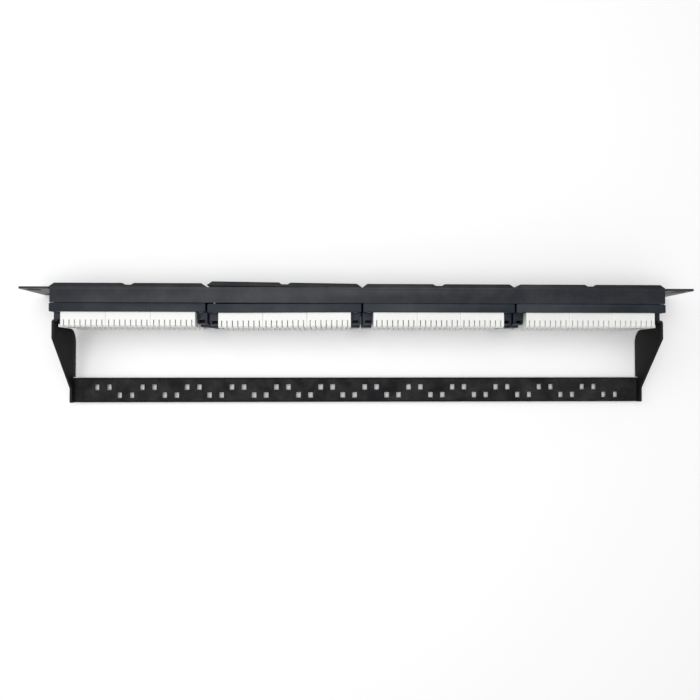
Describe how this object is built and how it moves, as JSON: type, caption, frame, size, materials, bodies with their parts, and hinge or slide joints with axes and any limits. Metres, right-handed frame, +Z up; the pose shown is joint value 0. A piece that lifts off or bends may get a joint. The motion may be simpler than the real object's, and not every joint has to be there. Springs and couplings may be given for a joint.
{
  "type": "rack patch panel",
  "caption": "One-unit rack patch panel: steel front with modular sockets, rear rows of white punch-down blocks and a bent cable bar behind.",
  "frame": {"origin": "middle of the rack mounting plane, on the rear face of the ears", "axes": "+X along the panel, to the right as seen from the front; -Y out of the front; +Z up"},
  "size_m": [0.4826, 0.0879, 0.0436],
  "materials": {
    "powder_black": "fine-textured satin powder coat",
    "housing_black": "spark-eroded matt moulding",
    "cover_black": "satin moulding",
    "block_white": "low-gloss white moulding",
    "blade_bronze": "bright stamped",
    "contact_gold": "gold plated",
    "board_green": "solder mask",
    "clear_window": "clear gloss",
    "label_paper": "uncoated",
    "wiring_paper": "coated, printed with colour bars",
    "screw_steel": "zinc plated"
  },
  "bodies": {
    "panel": {"circuit_board_1": "board_green", "circuit_board_2": "board_green", "circuit_board_3": "board_green", "circuit_board_4": "board_green", "cover_screws": "screw_steel", "front_panel": "powder_black", "jack_contacts_1": "contact_gold", "jack_contacts_2": "contact_gold", "jack_contacts_3": "contact_gold", "jack_contacts_4": "contact_gold", "label_strip_1": "label_paper", "label_strip_2": "label_paper", "label_strip_3": "label_paper", "label_strip_4": "label_paper", "port_housing_1": "housing_black", "port_housing_2": "housing_black", "port_housing_3": "housing_black", "port_housing_4": "housing_black", "rear_cover_1": "cover_black", "rear_cover_2": "cover_black", "rear_cover_3": "cover_black", "rear_cover_4": "cover_black", "terminal_blades_1": "blade_bronze", "terminal_blades_2": "blade_bronze", "terminal_blades_3": "blade_bronze", "terminal_blades_4": "blade_bronze", "terminal_block_1_lower_1": "block_white", "terminal_block_1_lower_2": "block_white", "terminal_block_1_lower_3": "block_white", "terminal_block_1_upper_1": "block_white", "terminal_block_1_upper_2": "block_white", "terminal_block_1_upper_3": "block_white", "terminal_block_2_lower_1": "block_white", "terminal_block_2_lower_2": "block_white", "terminal_block_2_lower_3": "block_white", "terminal_block_2_upper_1": "block_white", "terminal_block_2_upper_2": "block_white", "terminal_block_2_upper_3": "block_white", "terminal_block_3_lower_1": "block_white", "terminal_block_3_lower_2": "block_white", "terminal_block_3_lower_3": "block_white", "terminal_block_3_upper_1": "block_white", "terminal_block_3_upper_2": "block_white", "terminal_block_3_upper_3": "block_white", "terminal_block_4_lower_1": "block_white", "terminal_block_4_lower_2": "block_white", "terminal_block_4_lower_3": "block_white", "terminal_block_4_upper_1": "block_white", "terminal_block_4_upper_2": "block_white", "terminal_block_4_upper_3": "block_white", "wiring_label_1": "wiring_paper", "wiring_label_2": "wiring_paper", "wiring_label_3": "wiring_paper", "wiring_label_4": "wiring_paper"},
    "bar": {"cable_bar": "powder_black"},
    "window_1": {"label_cover_1": "clear_window"},
    "window_2": {"label_cover_2": "clear_window"},
    "window_3": {"label_cover_3": "clear_window"},
    "window_4": {"label_cover_4": "clear_window"}
  },
  "joints": [
    {"name": "cable_bar_lift", "type": "slide", "parent": "panel", "child": "bar", "axis": [0, 0, 1], "range_m": [0, 0.012]},
    {"name": "label_cover_1_pull", "type": "slide", "parent": "panel", "child": "window_1", "axis": [0, -1, 0], "range_m": [0, 0.004]},
    {"name": "label_cover_2_pull", "type": "slide", "parent": "panel", "child": "window_2", "axis": [0, -1, 0], "range_m": [0, 0.004]},
    {"name": "label_cover_3_pull", "type": "slide", "parent": "panel", "child": "window_3", "axis": [-0.0127, -0.9999, 0], "range_m": [0, 0.004]},
    {"name": "label_cover_4_pull", "type": "slide", "parent": "panel", "child": "window_4", "axis": [0, -1, 0], "range_m": [0, 0.004]}
  ]
}
